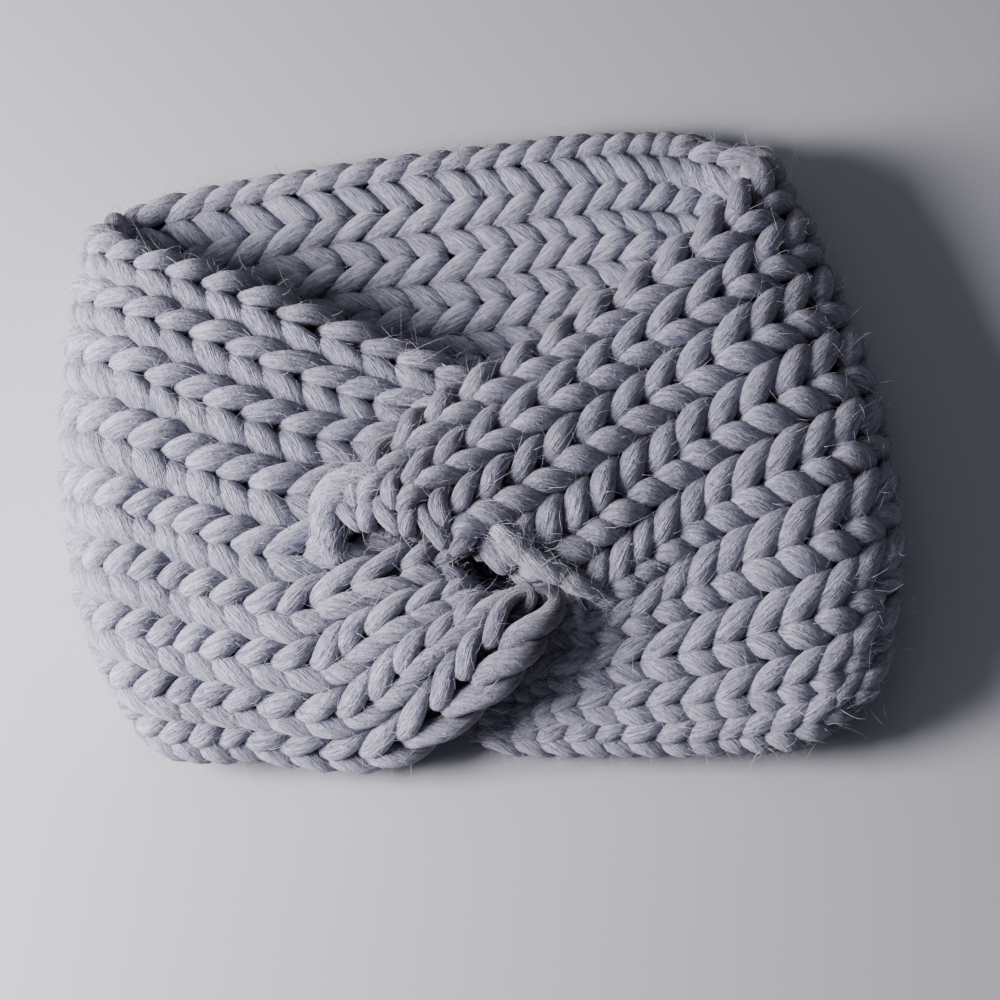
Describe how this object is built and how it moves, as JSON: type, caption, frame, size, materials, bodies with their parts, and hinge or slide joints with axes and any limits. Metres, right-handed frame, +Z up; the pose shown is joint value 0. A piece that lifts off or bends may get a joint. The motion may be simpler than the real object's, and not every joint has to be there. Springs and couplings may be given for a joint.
{
  "type": "ear warmer headband",
  "caption": "Wide chunky rib-knit ear warmer headband, lying flat, with a folded twist seamed at the middle of the front.",
  "frame": {"origin": "on the surface the headband lies on, below the middle of its box", "axes": "+X to the right along the longest side, +Y towards the upper edge of the back panel, +Z up"},
  "size_m": [0.2284, 0.1938, 0.0568],
  "materials": {
    "roving_wool": "soft, slightly fuzzy, pale lavender grey",
    "sewing_wool": "the same wool, brushed fuzzy"
  },
  "bodies": {
    "root": {"knit_band": "roving_wool", "seam_stitch": "sewing_wool"}
  },
  "joints": []
}
